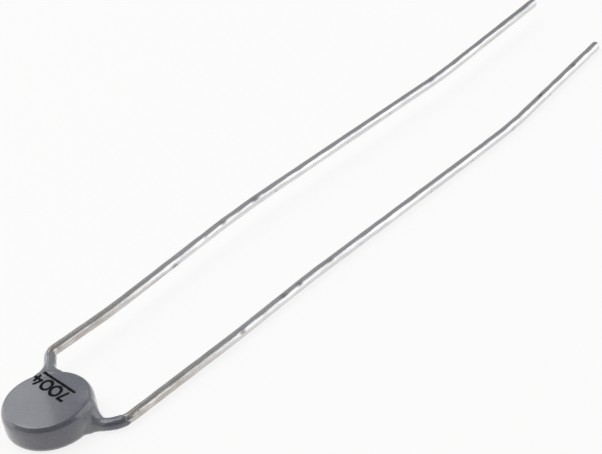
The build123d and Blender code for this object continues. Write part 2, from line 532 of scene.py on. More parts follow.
@dataclass(frozen=True)
class LacquerFinish:
    """Grey dipped lacquer with a satin skin, faint blotches and a fine orange peel."""

    light: Colour = (0.150, 0.153, 0.181, 1.0)
    dark: Colour = (0.131, 0.134, 0.159, 1.0)
    # Lighter tone for the upper sleeve, and painted light on the lower lead's web, which the lamps
    # leave in shade.
    thin: Colour = (0.245, 0.248, 0.270, 1.0)
    pit: Colour = (0.09, 0.09, 0.10, 1.0)
    speck: Colour = (0.40, 0.40, 0.42, 1.0)
    blotches: Tone = Tone(scale=0.8, grain=9.0)
    peel: Tone = Tone(scale=5.0, grain=5.0)
    pits: Specks = Specks(scale=3.2, size=0.12, amount=0.10, strength=0.35)
    dust: Specks = Specks(scale=5.5, size=0.10, amount=0.05, strength=0.45)
    roughness: Span = (0.24, 0.34)
    relief: float = 0.5
    peel_depth: float = 0.0014
    refraction: float = 1.5
    coat_roughness: float = 0.07

    def material(self, shared: SharedLooks) -> bpy.types.Material:
        """Builds the material.

        Args:
            shared: The shared node groups.

        Returns:
            The material.
        """
        material, nodes, shader = start_material("dipped_lacquer")
        place = object_place(nodes)
        blotches = self.blotches.put(nodes, shared, place)
        peel = self.peel.put(nodes, shared, place)
        pits = self.pits.put(nodes, shared, place)
        dust = self.dust.put(nodes, shared, place)
        colour = nodes.mix(blotches.outputs["Mask"], self.dark, self.light)
        # Lighter where the mesh says: a tone on the upper sleeve, painted light on the lower web.
        colour = nodes.mix(nodes.stored("lacquer_lightening"), colour, self.thin)
        colour = nodes.mix(nodes.maths("MULTIPLY", pits, self.pits.strength), colour, self.pit)
        colour = nodes.mix(nodes.maths("MULTIPLY", dust, self.dust.strength), colour, self.speck)
        height = nodes.maths("SUBTRACT", peel.outputs["Height"], pits)
        nodes.feed(shader, {
            "Base Color": colour,
            "Roughness": nodes.spread(peel.outputs["Mask"], 0.0, 1.0, *self.roughness),
            "Normal": nodes.relief(height, self.relief, self.peel_depth),
            "IOR": self.refraction,
            "Coat Weight": 1.0,
            "Coat Roughness": self.coat_roughness,
        })
        return material


@dataclass(frozen=True)
class TinFinish:
    """Hot-tinned wire: draw lines, dull patches, and a warm flux tint and lacquer near the disc."""

    bright: Colour = (0.78, 0.77, 0.775, 1.0)
    dull: Colour = (0.58, 0.572, 0.575, 1.0)
    warm: Colour = (0.445, 0.405, 0.362, 1.0)
    # Dark of the scratch specks, and of the painted shade in the nicks.
    scratch_and_shade: Colour = (0.13, 0.125, 0.12, 1.0)
    residue: Colour = (0.26, 0.26, 0.27, 1.0)
    lines: Tone = Tone(scale=9.0, grain=4.0)
    line_stretch: float = 0.04
    patches: Tone = Tone(scale=2.0, grain=6.0)
    patch_stretch: float = 0.45
    ticks: Specks = Specks(scale=3.4, size=0.20, amount=0.13, strength=0.6)
    tick_stretch: float = 0.35
    blobs: Specks = Specks(scale=5.0, size=0.45, amount=0.5)
    warm_from: float = 13.0
    warm_full: float = 3.5
    warm_steady: float = 0.5
    residue_end: float = 4.6
    residue_start: float = 3.3
    line_wear: float = 0.30
    patch_wear: float = 0.35
    roughness: float = 0.20
    worn_roughness: float = 0.22
    tick_roughness: float = 0.2
    patch_height: float = 1.6
    relief: float = 0.6
    relief_depth: float = 0.002

    def material(self, shared: SharedLooks) -> bpy.types.Material:
        """Builds the material. It reads the wire as if straight, with Z along it.

        Args:
            shared: The shared node groups.

        Returns:
            The material.
        """
        material, nodes, shader = start_material("tinned_wire")
        straight = nodes.stored("straight", "Vector")
        along = nodes.add("ShaderNodeSeparateXYZ", {0: straight}).outputs["Z"]
        line_place, patch_place, tick_place = (
            nodes.stretch(straight, (1.0, 1.0, stretch))
            for stretch in (self.line_stretch, self.patch_stretch, self.tick_stretch))
        lines = self.lines.put(nodes, shared, line_place)
        patches = self.patches.put(nodes, shared, patch_place)
        ticks = self.ticks.put(nodes, shared, tick_place)
        blobs = self.blobs.put(nodes, shared, straight)
        near_disc = nodes.spread(along, self.warm_full, self.warm_from, 1.0, 0.0)
        uneven = nodes.maths("MULTIPLY_ADD", patches.outputs["Mask"],
                             1.0 - self.warm_steady, self.warm_steady)
        by_sleeve = nodes.spread(along, self.residue_start, self.residue_end, 1.0, 0.0)
        lacquered = nodes.maths("MULTIPLY", by_sleeve, blobs)
        wear = nodes.maths("MULTIPLY", lines.outputs["Mask"], self.line_wear)
        wear = nodes.maths("MULTIPLY_ADD", patches.outputs["Mask"], self.patch_wear, wear)
        scratched = nodes.maths("MULTIPLY", ticks, self.ticks.strength)
        colour = nodes.mix(wear, self.bright, self.dull)
        colour = nodes.mix(nodes.maths("MULTIPLY", near_disc, uneven), colour, self.warm)
        colour = nodes.mix(scratched, colour, self.scratch_and_shade)
        # Painted shade: darkens the tin in its nicks, and over the highlight near the upper tip.
        colour = nodes.mix(nodes.stored("painted_shade"), colour, self.scratch_and_shade)
        colour = nodes.mix(lacquered, colour, self.residue)
        roughness = nodes.maths("MULTIPLY_ADD", wear, self.worn_roughness, self.roughness)
        roughness = nodes.maths("MULTIPLY_ADD", ticks, self.tick_roughness, roughness)
        height = nodes.maths("MULTIPLY_ADD", patches.outputs["Height"], self.patch_height,
                             lines.outputs["Height"])
        height = nodes.maths("ADD", nodes.maths("SUBTRACT", height, ticks), lacquered)
        nodes.feed(shader, {
            "Base Color": colour,
            "Roughness": roughness,
            "Metallic": nodes.maths("SUBTRACT", 1.0, lacquered),
            "Normal": nodes.relief(height, self.relief, self.relief_depth),
        })
        return material


@dataclass(frozen=True)
class PlainFinish:
    """A finish whose tone and roughness vary between two values, in the same places."""

    name: str
    light: Colour
    dark: Colour
    tone: Tone
    roughness: Span
    relief: float = 0.5
    depth: float = 0.004
    metallic: float = 0.0
    specular: float = 0.5

    def material(self, shared: SharedLooks) -> bpy.types.Material:
        """Builds the material.

        Args:
            shared: The shared node groups.

        Returns:
            The material.
        """
        material, nodes, shader = start_material(self.name)
        tone = self.tone.put(nodes, shared, object_place(nodes))
        mask = tone.outputs["Mask"]
        low, high = self.roughness
        nodes.feed(shader, {
            "Base Color": nodes.mix(mask, self.light, self.dark),
            "Roughness": nodes.spread(mask, 0.0, 1.0, low, high) if low < high else low,
            "Normal": nodes.relief(tone.outputs["Height"], self.relief, self.depth),
            "Metallic": self.metallic,
            "Specular IOR Level": self.specular,
        })
        return material


CERAMIC = PlainFinish(
    "oxide_ceramic", light=(0.055, 0.052, 0.050, 1.0), dark=(0.030, 0.028, 0.027, 1.0),
    tone=Tone(scale=6.0, grain=5.0), roughness=(0.7, 0.7), depth=0.006)
SILVER = PlainFinish(
    "fired_silver", light=(0.86, 0.84, 0.80, 1.0), dark=(0.66, 0.63, 0.58, 1.0),
    tone=Tone(scale=7.0, grain=5.0), roughness=(0.42, 0.57), metallic=1.0)
SOLDER = PlainFinish(
    "soft_solder", light=(0.74, 0.74, 0.75, 1.0), dark=(0.50, 0.50, 0.51, 1.0),
    tone=Tone(scale=3.0, grain=5.0), roughness=(0.26, 0.41), depth=0.01, metallic=1.0)
CUT_COPPER = PlainFinish(
    "cut_copper", light=(0.80, 0.52, 0.38, 1.0), dark=(0.70, 0.62, 0.55, 1.0),
    tone=Tone(scale=5.0, grain=5.0), roughness=(0.35, 0.50), metallic=1.0)
INK = PlainFinish(
    "marking_ink", light=(0.001, 0.001, 0.002, 1.0), dark=(0.006, 0.006, 0.009, 1.0),
    tone=Tone(scale=7.0, grain=4.0), roughness=(0.42, 0.60), relief=0.4, depth=0.002,
    specular=0.08)


# ------------------------------------------------------------------------------------ leads: routes
@dataclass(frozen=True)
class RoutePiece:
    """One straight run or one arc of a route's plan."""

    start: np.ndarray
    heading: float
    length: float
    bend: float
    begins: float

    def place(self, distance: np.ndarray) -> tuple[np.ndarray, np.ndarray]:
        """Follows this piece.

        Args:
            distance: Distances from the piece's start.

        Returns:
            Points of the plan, and headings in radians from +X.
        """
        heading = self.heading + self.bend * distance
        if self.bend == 0.0:
            return self.start + distance[:, None] * plan_way(self.heading), heading
        swing = np.stack([np.sin(heading) - math.sin(self.heading),
                          math.cos(self.heading) - np.cos(heading)], 1)
        return self.start + swing / self.bend, heading

    def measure(self, plan: np.ndarray) -> tuple[np.ndarray, np.ndarray]:
        """Finds where points lie beside this piece.

        Args:
            plan: Points of the plan, one row each.

        Returns:
            Distances along the piece, and offsets to its left.
        """
        ahead = plan_way(self.heading)
        left = np.array([-ahead[1], ahead[0]])
        if self.bend == 0.0:
            return (plan - self.start) @ ahead, (plan - self.start) @ left
        out = plan - (self.start + left / self.bend)
        sign = math.copysign(1.0, self.bend)
        heading = np.arctan2(out[:, 1], out[:, 0]) + sign * math.pi / 2
        turned = (heading - self.heading + math.pi) % TURN - math.pi
        return turned / self.bend, 1 / self.bend - sign * np.hypot(out[:, 0], out[:, 1])


@dataclass(frozen=True)
class Nick:
    """A small dent, or a lump if its depth is negative, darkened by painted shade.

    Its place and its length run along the wire from the disc's axis. Its angle and its width are in
    degrees round the wire, from the wire's left.
    """

    along: float
    angle: float
    length: float
    width: float
    depth: float
    # How much painted shade darkens the nick.
    painted_shade: float

    def reach(self, along: np.ndarray, angle: np.ndarray) -> np.ndarray:
        """How strongly the nick is felt.

        Args:
            along: Distances along the lead, from the disc's axis.
            angle: Angles round the wire, from its left.

        Returns:
            One value for each place, from 0 to 1.
        """
        away = (along - self.along) / self.length
        round_way = ((np.degrees(angle) - self.angle + 180.0) % 360.0 - 180.0) / self.width
        return np.exp(-(away**2) - round_way**2)


@dataclass(frozen=True)
class DiscSizes:
    """Sizes of the disc, its coating and the wire, as the solids have them."""

    ceramic_radius: float = 1.5
    coating_wall: float = 0.55
    coating_skin: float = 0.06
    wire_radius: float = 0.25
    flat_thickness: float = 0.21
    flat_past_centre: float = 0.62
    flat_clearance: float = 0.06
    flat_taper: float = 0.34
    lead_rise: float = 0.405
    top_edge: Span = (0.19, 0.38)
    bottom_edge: Span = (0.42, 0.42)
    meniscus_shoulder: float = 0.12
    meniscus_root: float = 0.57
    width_curve: float = 2.0
    height_curve: float = 1.5

    @property
    def radius(self) -> float:
        """Radius of the coated disc."""
        return self.ceramic_radius + self.coating_wall

    @property
    def middle(self) -> float:
        """Height of the ceramic's mid plane."""
        return self.lead_rise + self.wire_radius + self.coating_skin

    @property
    def flat_half_width(self) -> float:
        """Half width of the pressed end, whose section is as large as the round wire's."""
        return math.pi * self.wire_radius**2 / self.flat_thickness / 2

    @property
    def flat_end(self) -> float:
        """Distance from the disc's axis to where the flat starts to turn round."""
        return self.ceramic_radius + self.flat_clearance


@dataclass(frozen=True)
class LeadForm:
    """One lead's route and the coating on its first stretch. Angles are in degrees.

    Attributes:
        side: The face of the ceramic that it is soldered to.
        heading: Which way it leaves the disc, from +X.
        offset: How far to the side its main bend lies.
        bend_radius: Radius of the main bend.
        sleeve: Length of the coat on the wire, from the disc's edge.
        run_shares: Share of the waved length that each nearly straight run takes.
        run_angles: Outward lean of each of those runs from +Y.
        tip_angle: Outward lean of the last run.
        half_width: Half width of the taper of lacquer at the disc.
        half_height: Half height of the taper at the disc.
        reach: How far the taper runs past the disc's edge.
        swell: Rise along the taper's middle.
        lean: How far the taper's top is pushed to the left.
        blend: Fillet between the taper and the disc.
        wall: Thickness of the coat on the wire.
        eccentric: How far that coat lies to the left of the wire.
        lacquer_lightening: How much lighter the lacquer is made on the sleeve.
        web_painted_light: How much painted light brightens the taper low down and along its left
            side.
        sleeve_slant: How much the sleeve's end slants.
        seed: What sets this lead's waves apart.
        nicks: Its dents and lumps, and the painted shade that darkens them.
        length: Length beyond the main bend's corner.
        tip_length: Length of the last run.
        gentle_radius: Radius of the arcs between the runs.
        gentle_share: Most of a run that such an arc may take.
    """

    side: Side
    heading: float
    offset: float
    bend_radius: float
    sleeve: float
    run_shares: tuple[float, ...]
    run_angles: tuple[float, ...]
    tip_angle: float
    half_width: float
    half_height: float
    reach: float
    swell: float
    lean: float
    blend: float
    wall: float
    eccentric: float
    lacquer_lightening: float
    web_painted_light: float
    sleeve_slant: float
    seed: float
    nicks: tuple[Nick, ...]
    length: float = 36.2
    tip_length: float = 8.7
    gentle_radius: float = 24.0
    gentle_share: float = 0.45

    @property
    def outward(self) -> int:
        """The side of the part, along X, that the lead runs on."""
        return 1 if math.cos(math.radians(self.heading)) > 0 else -1


UPPER_LEAD = LeadForm(
    side=Side.UPPER, heading=137.0, offset=2.72, bend_radius=0.60, sleeve=1.50,
    run_shares=(0.131, 0.282, 0.089, 0.498), run_angles=(-1.7, 2.5, 0.2, -2.6), tip_angle=2.7,
    half_width=0.80, half_height=0.52, reach=0.60, swell=0.012, lean=0.0, blend=0.20,
    wall=0.034, eccentric=-0.018, lacquer_lightening=0.8, web_painted_light=0.0, sleeve_slant=0.10, seed=1.3,
    length=36.12, tip_length=8.62,
    nicks=(
        Nick(along=35.8, angle=168.0, length=0.9, width=40.0, depth=-0.006, painted_shade=0.25),
        Nick(along=36.9, angle=150.0, length=0.4, width=36.0, depth=-0.007, painted_shade=0.2),
        # No dent: painted shade alone, dimming the highlight near the tip.
        Nick(along=38.2, angle=135.0, length=1.7, width=30.0, depth=0.0, painted_shade=0.35),
        Nick(along=30.2, angle=128.0, length=0.22, width=30.0, depth=0.012, painted_shade=0.4),
        Nick(along=17.2, angle=132.0, length=0.24, width=24.0, depth=0.022, painted_shade=0.8),
        Nick(along=14.95, angle=134.0, length=0.16, width=22.0, depth=0.024, painted_shade=0.8),
        Nick(along=13.65, angle=140.0, length=0.12, width=20.0, depth=0.014, painted_shade=0.5),
        Nick(along=11.4, angle=196.0, length=0.22, width=24.0, depth=0.020, painted_shade=0.9),
        Nick(along=10.2, angle=192.0, length=0.80, width=8.0, depth=0.010, painted_shade=0.6),
    ),
)
LOWER_LEAD = LeadForm(
    side=Side.LOWER, heading=23.5, offset=2.88, bend_radius=1.27, sleeve=1.38,
    run_shares=(0.269, 0.178, 0.438, 0.115), run_angles=(0.5, -1.2, 1.2, 0.45), tip_angle=-6.3,
    half_width=0.65, half_height=0.60, reach=0.43, swell=0.0, lean=0.17, blend=0.28,
    # Painted light on the web, at full strength on this lead.
    wall=0.034, eccentric=0.0, lacquer_lightening=0.0, web_painted_light=1.0, sleeve_slant=0.16, seed=4.1,
    nicks=(
        Nick(along=33.14, angle=104.0, length=0.18, width=26.0, depth=-0.022, painted_shade=0.8),
        Nick(along=36.55, angle=104.0, length=0.14, width=24.0, depth=0.018, painted_shade=0.5),
        Nick(along=30.2, angle=184.0, length=0.20, width=26.0, depth=0.012, painted_shade=0.3),
        Nick(along=16.5, angle=122.0, length=0.20, width=22.0, depth=0.012, painted_shade=0.4),
        Nick(along=14.4, angle=128.0, length=0.16, width=24.0, depth=0.022, painted_shade=0.8),
        Nick(along=13.35, angle=110.0, length=0.18, width=24.0, depth=0.014, painted_shade=0.5),
        Nick(along=10.4, angle=146.0, length=0.14, width=26.0, depth=0.024, painted_shade=0.9),
    ),
)


class Route:
    """A lead's centre line: straight runs joined by tangent arcs, level or gently sloping."""

    near_disc: int = 3
    behind_disc: float = 9.0
    join: float = 1e-9

    def __init__(self, form: LeadForm, sizes: DiscSizes) -> None:
        """Lays out the plan of the route and its two levels.

        Args:
            form: The lead's form.
            sizes: Sizes of the disc and the wire.
        """
        angle = math.radians(form.heading)
        reach = form.offset / abs(math.cos(angle))
        corners = [np.zeros(2), reach * plan_way(angle)]
        waved = form.length - form.tip_length
        runs = [(share * waved, lean) for share, lean in zip(form.run_shares, form.run_angles)]
        for length, lean in runs + [(form.tip_length, form.tip_angle)]:
            across = form.outward * length * math.sin(math.radians(lean))
            corners.append(corners[-1] + np.array([across, length * math.cos(math.radians(lean))]))
        self.pieces: list[RoutePiece] = []
        self.length = 0.0
        self._lay_out(corners, form)
        self.start_level = sizes.middle + form.side.value * sizes.lead_rise
        self.end_level = self.start_level if form.side is Side.UPPER else sizes.wire_radius
        self.slope_from = reach

    def _lay_out(self, corners: list[np.ndarray], form: LeadForm) -> None:
        """Turns corners into runs and arcs.

        Args:
            corners: Points of the plan where straight runs would meet.
            form: The lead's form.
        """
        spent = 0.0
        for index in range(len(corners) - 1):
            run = corners[index + 1] - corners[index]
            length = float(np.hypot(*run))
            heading = math.atan2(run[1], run[0])
            way = run / length
            if index + 2 == len(corners):
                self._append(corners[index] + way * spent, heading, length - spent, 0.0)
                break
            onward = corners[index + 2] - corners[index + 1]
            turn = math.atan2(onward[1], onward[0]) - heading
            shorter = min(length, float(np.hypot(*onward)))
            wanted = form.gentle_radius if index else form.bend_radius
            radius = min(wanted, form.gentle_share * shorter / math.tan(abs(turn) / 2))
            tangent = radius * math.tan(abs(turn) / 2)
            self._append(corners[index] + way * spent, heading, length - spent - tangent, 0.0)
            bend = math.copysign(1 / radius, turn)
            self._append(corners[index + 1] - way * tangent, heading, abs(turn) * radius, bend)
            spent = tangent

    def _append(self, start: np.ndarray, heading: float, length: float, bend: float) -> None:
        """Adds one piece to the end of the route."""
        self.pieces.append(RoutePiece(start, heading, length, bend, self.length))
        self.length += length

    def level(self, along: np.ndarray) -> np.ndarray:
        """Height of the centre line at distances from the disc's axis."""
        share = np.clip((along - self.slope_from) / (self.length - self.slope_from), 0.0, 1.0)
        return self.start_level + (self.end_level - self.start_level) * share

    def place(self, along: np.ndarray) -> tuple[np.ndarray, np.ndarray]:
        """Points of the centre line and unit vectors to its left.

        Args:
            along: Distances from the disc's axis; negative ones lie behind it.

        Returns:
            Points and left vectors, one row each.
        """
        points = np.zeros((len(along), 3))
        left = np.zeros((len(along), 3))
        for piece in self.pieces:
            first = piece is self.pieces[0]
            here = (along >= piece.begins - self.join) | first
            plan, heading = piece.place(along[here] - piece.begins)
            points[here, :2] = plan
            left[here, 0] = -np.sin(heading)
            left[here, 1] = np.cos(heading)
        points[:, 2] = self.level(along)
        return points, left

    def measure(self, points: np.ndarray) -> tuple[np.ndarray, np.ndarray, np.ndarray]:
        """Places of points relative to the route near the disc.

        Args:
            points: Places on the part, one row each.

        Returns:
            Distance along the route, offset to its left and height over it.
        """
        best = np.full(len(points), np.inf)
        along = np.zeros(len(points))
        aside = np.zeros(len(points))
        for piece in self.pieces[:self.near_disc]:
            distance, offset = piece.measure(points[:, :2])
            low = -self.behind_disc if piece.begins == 0.0 else 0.0
            beyond = np.maximum(np.maximum(low - distance, distance - piece.length), 0.0)
            gap = np.hypot(beyond, offset)
            nearer = gap < best
            best = np.where(nearer, gap, best)
            along = np.where(nearer, piece.begins + distance, along)
            aside = np.where(nearer, offset, aside)
        return along, aside, points[:, 2] - self.level(along)


# ------------------------------------------------------------------------------------ coating
@dataclass(frozen=True)
class SleeveToneAndPaintedWebLight:
    """Where the lacquer is made lighter: a tone on a sleeve, painted light on the web before it.

    The spans of the sleeve, and of the web's start and end, lie past the disc's edge. The low one
    lies over the lead's centre line, the behind one to its left, and the sides one to either side.
    """

    sleeve: Span = (-0.35, 0.45)
    web_starts: Span = (-1.2, 0.0)
    web_ends: Span = (0.35, 0.70)
    web_low: Span = (0.15, 0.75)
    web_behind: Span = (-0.1, 0.5)
    behind_share: float = 0.8
    web_sides: Span = (0.6, 1.5)

    def measure(self, form: LeadForm, past: np.ndarray, aside: np.ndarray,
                over: np.ndarray) -> np.ndarray:
        """How much lighter the lacquer is made by one lead: a tone on the sleeve, painted light on
        the web.
            past: Distances along the lead, from the disc's edge.
            aside: Offsets to the lead's left.
            over: Heights over the lead's centre line.

        Returns:
            One value for each place, from 0 to 1.
        """
        reach = np.abs(aside)
        sleeve = form.lacquer_lightening * smooth_step(past, *self.sleeve)
        sleeve = np.where(reach < form.half_width, sleeve, 0.0)
        low = 1.0 - smooth_step(over, *self.web_low)
        behind = self.behind_share * smooth_step(aside, *self.web_behind)
        # Painted light on the web: low down and behind the lead, fading out to its sides.
        web = smooth_step(past, *self.web_starts) * (1.0 - smooth_step(past, *self.web_ends))
        web *= np.maximum(low, behind) * (1.0 - smooth_step(reach, *self.web_sides))
        return np.maximum(sleeve, form.web_painted_light * web)


@dataclass
class Coating:
    """The dipped lacquer: a disc with a crisp top rim, drawn out into a sleeve on each lead."""

    sizes: DiscSizes
    leads: tuple[LeadForm, ...]
    finish: LacquerFinish = LacquerFinish()
    # Where the lacquer is made lighter: a tone on the sleeves, painted light on the lower web.
    thin: SleeveToneAndPaintedWebLight = SleeveToneAndPaintedWebLight()
    step: float = 0.032
    crown: float = 0.045
    unevenness: float = 0.008
    rim_waves: tuple[Wave, ...] = ((0.6, 2.0, 0.7), (0.4, 3.0, 2.1))
    runs_to: Span = (-0.036, 0.017)
    top_drop: float = 0.030
    feather: Span = (-0.02, 0.16)
    raggedness: float = 0.09
    ragged_waves: tuple[Wave, ...] = ((0.5, 2.0, 1.0), (0.3, 5.0, 2.0), (0.2, 9.0, 3.0))
    lump: float = 0.11
    lump_waves: Span = (7.1, 13.3)
    lump_swirl: float = 0.6
    end_sink: float = 0.05
    sleeve_blend: float = 0.05
    ease: float = 0.11
    squareness: float = 1.3
    lean_from: float = -0.1
    lean_full: float = 0.6
    root_inset: float = 0.30
    root_margin: float = 0.02
    margin: float = 0.12
    headroom: float = 0.1
    drop_from: float = 0.4
    drop_share: float = 0.8
    drop_rounds: int = 60

    def __post_init__(self) -> None:
        """Lays out the leads' routes."""
        self.routes = [Route(form, self.sizes) for form in self.leads]

    def body(self, points: np.ndarray) -> np.ndarray:
        """Measures to the coated disc alone.

        Args:
            points: Places on the part, one row each.

        Returns:
            Distances, negative inside.
        """
        sizes = self.sizes
        x, y, z = (points - np.array([*self.runs_to, 0.0])).T
        angle = np.arctan2(y, x)
        tall = sizes.middle
        bulge = self.crown * (1.0 - ((z - tall) / tall) ** 2)
        wobble = self.unevenness * lobed(angle, self.rim_waves)
        radius = sizes.radius - self.crown + bulge + wobble
        reach = np.hypot(x, y)
        top = 2 * tall - self.top_drop * (reach / sizes.radius) ** 2
        upper = z > tall
        inward = np.where(upper, sizes.top_edge[0], sizes.bottom_edge[0])
        upright = np.where(upper, sizes.top_edge[1], sizes.bottom_edge[1])
        out = reach - radius + inward
        up = np.where(upper, z - top, -z) + upright
        across, rise = np.maximum(out, 0.0) / inward, np.maximum(up, 0.0) / upright
        size = np.hypot(across, rise)
        slope = np.maximum(np.hypot(across / inward, rise / upright), TINY)
        rounded = size * (size - 1.0) / slope
        return np.where((out > 0.0) & (up > 0.0), rounded, np.maximum(out - inward, up - upright))

    def meniscus(self, form: LeadForm, along: np.ndarray, aside: np.ndarray,
                 over: np.ndarray) -> np.ndarray:
        """Measures to the taper of lacquer between the disc and a lead's sleeve.

        Args:
            form: The lead's form.
            along: Distances along the lead, from the disc's axis.
            aside: Offsets to the lead's left.
            over: Heights over the lead's centre line.

        Returns:
            Distances, negative inside.
        """
        sizes = self.sizes
        root = sizes.radius - sizes.meniscus_root
        shoulder = sizes.radius - sizes.meniscus_shoulder
        end = sizes.radius + form.reach
        thin = sizes.wire_radius + form.wall
        past = np.minimum((along - shoulder) / (end - shoulder), 1.0)
        left = np.clip(1.0 - self.ease * np.logaddexp(0.0, past / self.ease), 0.0, 1.0)
        half_width = thin + (form.half_width - thin) * left**sizes.width_curve
        half_height = thin + (form.half_height - thin) * left**sizes.height_curve
        share = np.clip((along - root) / (end - root), 0.0, 1.0)
        swell = form.swell * np.sin(math.pi * share)
        sink = form.side.value * (half_height - thin - swell)
        power = 2.0 + self.squareness * left
        leant = form.lean * left * smooth_step(over, self.lean_from, self.lean_full)
        half_width = half_width - np.abs(leant)
        across = np.abs(aside - leant) / half_width
        upward = np.abs(over + sink) / half_height
        size = np.maximum((across**power + upward**power) ** (1.0 / power), TINY)
        slope = np.hypot((across / size) ** (power - 1.0) / half_width,
                         (upward / size) ** (power - 1.0) / half_height)
        inset = self.root_inset * (1.0 - smooth_step(along, root, sizes.radius - self.root_margin))
        distance = (size - 1.0) / np.maximum(slope, TINY) + inset
        return np.maximum(np.maximum(distance, root - along), along - end)

    def sleeve(self, form: LeadForm, along: np.ndarray, aside: np.ndarray,
               over: np.ndarray) -> np.ndarray:
        """Measures to the thin coat on a lead, which stops at a ragged, slanting end.

        Args:
            form: The lead's form.
            along: Distances along the lead, from the disc's axis.
            aside: Offsets to the lead's left.
            over: Heights over the lead's centre line.

        Returns:
            Distances, negative inside.
        """
        sizes = self.sizes
        angle = np.arctan2(over, aside)
        ragged = lobed(angle, self.ragged_waves, form.seed)
        slant = -form.outward * np.cos(angle)
        stop = sizes.radius + form.sleeve + self.raggedness * ragged + form.sleeve_slant * slant
        left = smooth_step(stop - along, *self.feather)
        slow, quick = self.lump_waves
        lumps = np.sin(slow * along + 2 * form.seed) * np.cos(angle + form.seed)
        lumps += self.lump_swirl * np.sin(quick * along + 2 * angle + form.seed)
        wall = form.wall * (1.0 + self.lump * lumps) * left - self.end_sink * (1.0 - left)
        distance = np.hypot(aside - form.eccentric, over) - sizes.wire_radius - wall
        longest = sizes.radius + form.sleeve + self.raggedness + form.sleeve_slant + self.margin
        return np.maximum(np.maximum(distance, along - longest), sizes.radius - along)

    def field(self, points: np.ndarray) -> np.ndarray:
        """Measures to the whole coating, which is cut flat at the floor.

        Args:
            points: Places on the part, one row each.

        Returns:
            Distances, negative inside.
        """
        total = self.body(points)
        for form, route in zip(self.leads, self.routes):
            along, aside, over = route.measure(points)
            total = smooth_union(total, self.meniscus(form, along, aside, over), form.blend)
            total = smooth_union(total, self.sleeve(form, along, aside, over), self.sleeve_blend)
        return np.maximum(total, -points[:, 2])

    def build(self, material: bpy.types.Material) -> bpy.types.Object:
        """Meshes the coating and dresses it.

        Args:
            material: The lacquer.

        Returns:
            The object, in the scene.
        """
        low, high = (np.array(corner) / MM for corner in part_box("coating"))
        high = high + self.margin + self.headroom
        vertices, faces = surface_net(self.field, low - self.margin, high, self.step)
        piece = make_piece("lacquer_coating", vertices, faces)
        slope = gradient(self.field, vertices)
        normals = slope / np.linalg.norm(slope, axis=1)[:, None]
        piece.data.normals_split_custom_set_from_vertices(normals.tolist())
        # Kept for the lacquer: a lighter tone on the upper sleeve, painted light on the lower web.
        store_values(piece, "lacquer_lightening", self.lacquer_lightening(vertices))
        piece.data.materials.append(material)
        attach(piece, BODY)
        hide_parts("coating")
        return piece

    def lacquer_lightening(self, points: np.ndarray) -> np.ndarray:
        """How much lighter the lacquer is made: a tone on a sleeve, painted light on the lower web.

        Args:
            points: Places on the part, one row each.

        Returns:
            One value for each place, from 0 on the disc to 1.
        """
        thin = np.zeros(len(points))
        for form, route in zip(self.leads, self.routes):
            along, aside, over = route.measure(points)
            # A lighter tone on this lead's sleeve, and painted light on its web.
            lightened = self.thin.measure(form, along - self.sizes.radius, aside, over)
            thin = np.where(along > 0.0, np.maximum(thin, lightened), thin)
        return thin

    def height(self, plan: np.ndarray) -> np.ndarray:
        """Finds the coating's upper surface.

        Args:
            plan: Points of the plan, one row each.

        Returns:
            Heights over the floor.
        """
        start = 2 * self.sizes.middle + self.drop_from
        points = np.column_stack([plan, np.full(len(plan), start)])
        for _ in range(self.drop_rounds):
            points[:, 2] -= self.drop_share * self.field(points)
        return points[:, 2]


